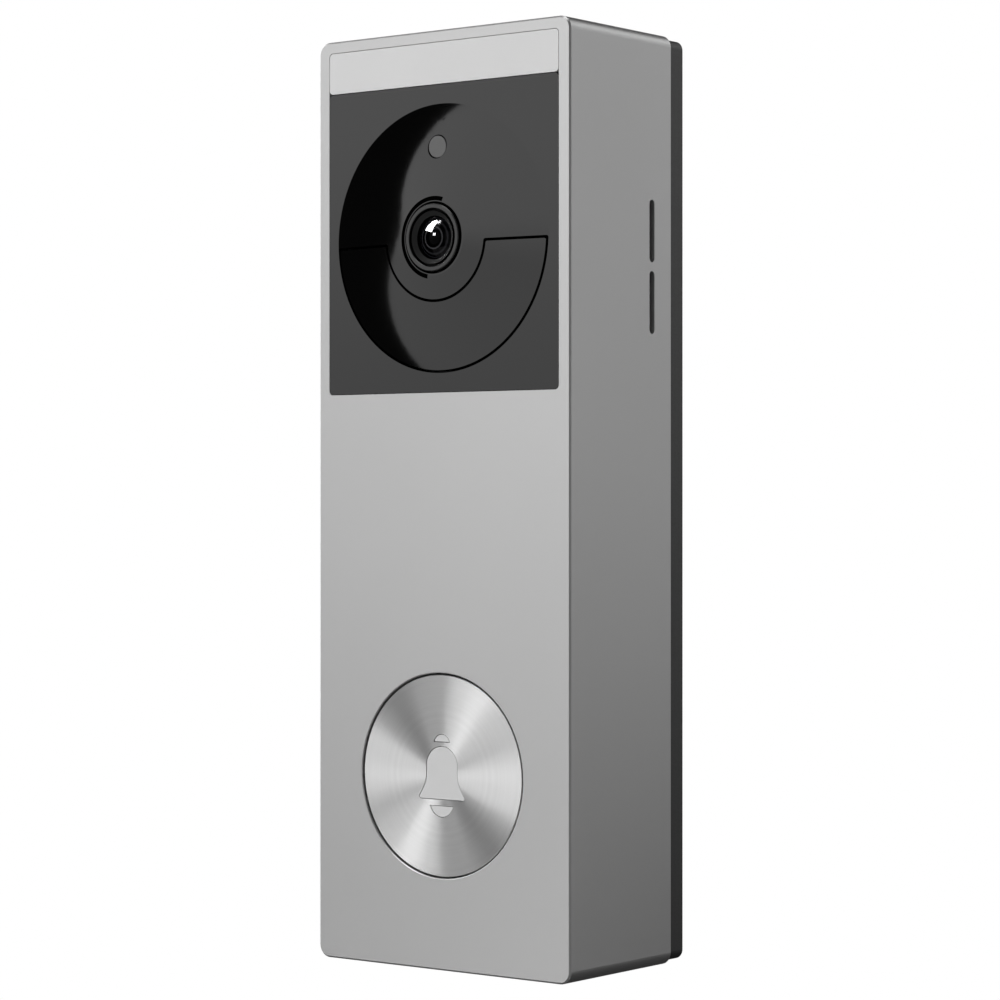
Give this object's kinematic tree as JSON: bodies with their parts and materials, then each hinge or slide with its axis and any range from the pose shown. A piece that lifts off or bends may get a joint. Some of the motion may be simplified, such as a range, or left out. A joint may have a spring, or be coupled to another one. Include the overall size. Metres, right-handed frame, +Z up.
{
  "type": "video doorbell",
  "caption": "Slim upright video doorbell: silver housing with a black camera window, light strip and round bell button, hooked onto a black wall bracket.",
  "frame": {"origin": "centre of the bracket's flat wall-side face", "axes": "+Z up, the front faces -Y, +Y points into the wall, +X is to the right seen from the front"},
  "size_m": [0.0546, 0.0363, 0.16],
  "materials": {
    "silver_housing": "fine satin, silver",
    "black_gloss": "polished black",
    "black_window": "polished black",
    "diffuser": "frosted, milky",
    "clear_dark_window": "smoked clear",
    "black_matte": "fine texture, black",
    "lens_black": "anti-reflective black",
    "lens_ring": "polished black",
    "lens_glass": "coated glass",
    "turned_metal": "turned, with circular brushing",
    "bell_white": "milky, translucent",
    "board_green": "solder mask",
    "board_black": "solder mask, black",
    "chip_black": "moulded",
    "connector_white": "moulded",
    "led_yellow": "moulded lens",
    "steel": "plated",
    "tin": "tinned sheet",
    "gasket_black": "soft",
    "foam": "open-cell foam",
    "silicone": "silicone",
    "battery_wrap": "shrink wrap",
    "lead_insulation": "wire insulation",
    "flex": "polyimide film",
    "speaker_cone": "film",
    "mesh": "woven acoustic cloth",
    "brass_screw": "plated"
  },
  "bodies": {
    "bracket": {"wall_bracket": "black_matte", "security_screw": "steel"},
    "unit": {"housing_shell": "silver_housing", "camera_fascia": "black_gloss", "pir_window": "black_window", "fascia_gasket": "gasket_black", "light_sensor_window": "clear_dark_window", "light_bar_diffuser": "diffuser", "light_bar_board": "board_green", "light_bar_lamps": "led_yellow", "lens_trim_ring": "lens_ring", "lens_barrel": "lens_black", "lens_front_element": "lens_glass", "lens_inner_elements": "lens_glass", "lens_seal": "gasket_black", "lens_holder": "black_matte", "camera_board": "board_green", "image_sensor": "chip_black", "sensor_board": "board_green", "pir_sensor": "tin", "infrared_lamps": "clear_dark_window", "light_sensor": "chip_black", "chassis": "black_matte", "chassis_screws": "steel", "main_board": "board_green", "board_screws": "steel", "processor_shield": "tin", "board_chips": "chip_black", "board_connectors": "connector_white", "wifi_antenna": "flex", "speaker_box": "black_matte", "speaker_driver": "chip_black", "speaker_cone": "speaker_cone", "speaker_gasket": "foam", "speaker_mesh": "mesh", "microphone_boot": "silicone", "microphone": "tin", "microphone_board": "board_green", "battery_pack": "battery_wrap", "battery_pad": "foam", "battery_lead": "lead_insulation", "button_seal": "silicone", "button_board": "board_black", "button_switch": "chip_black", "button_lamps": "led_yellow", "button_cable": "flex", "rear_cover": "black_matte", "rear_seal": "silicone", "rear_cover_screws": "steel", "terminal_block": "chip_black", "terminal_screws": "brass_screw", "charging_port": "tin", "reset_switch": "tin"},
    "button": {"button_cap": "turned_metal", "bell_light_guide": "bell_white", "button_carrier": "black_matte", "switch_plunger": "chip_black"},
    "reset": {"reset_button": "chip_black"},
    "door": {"port_door": "black_matte"}
  },
  "joints": [
    {"name": "unit_lift", "type": "slide", "parent": "bracket", "child": "unit", "axis": [0, 0, 1], "range_m": [0, 0.007]},
    {"name": "button_press", "type": "slide", "parent": "unit", "child": "button", "axis": [0, 1, 0], "range_m": [0, 0.0006], "stiffness_N_per_m": 2500, "springref_m": -0.0002},
    {"name": "reset_press", "type": "slide", "parent": "unit", "child": "reset", "axis": [0, -1, 0], "range_m": [0, 0.00025], "stiffness_N_per_m": 4000, "springref_m": -0.0001},
    {"name": "door_swing", "type": "hinge", "parent": "unit", "child": "door", "pos_m": [0, -0.0106, 0.0052], "axis": [1, 0, 0], "range_deg": [0, 100]}
  ]
}
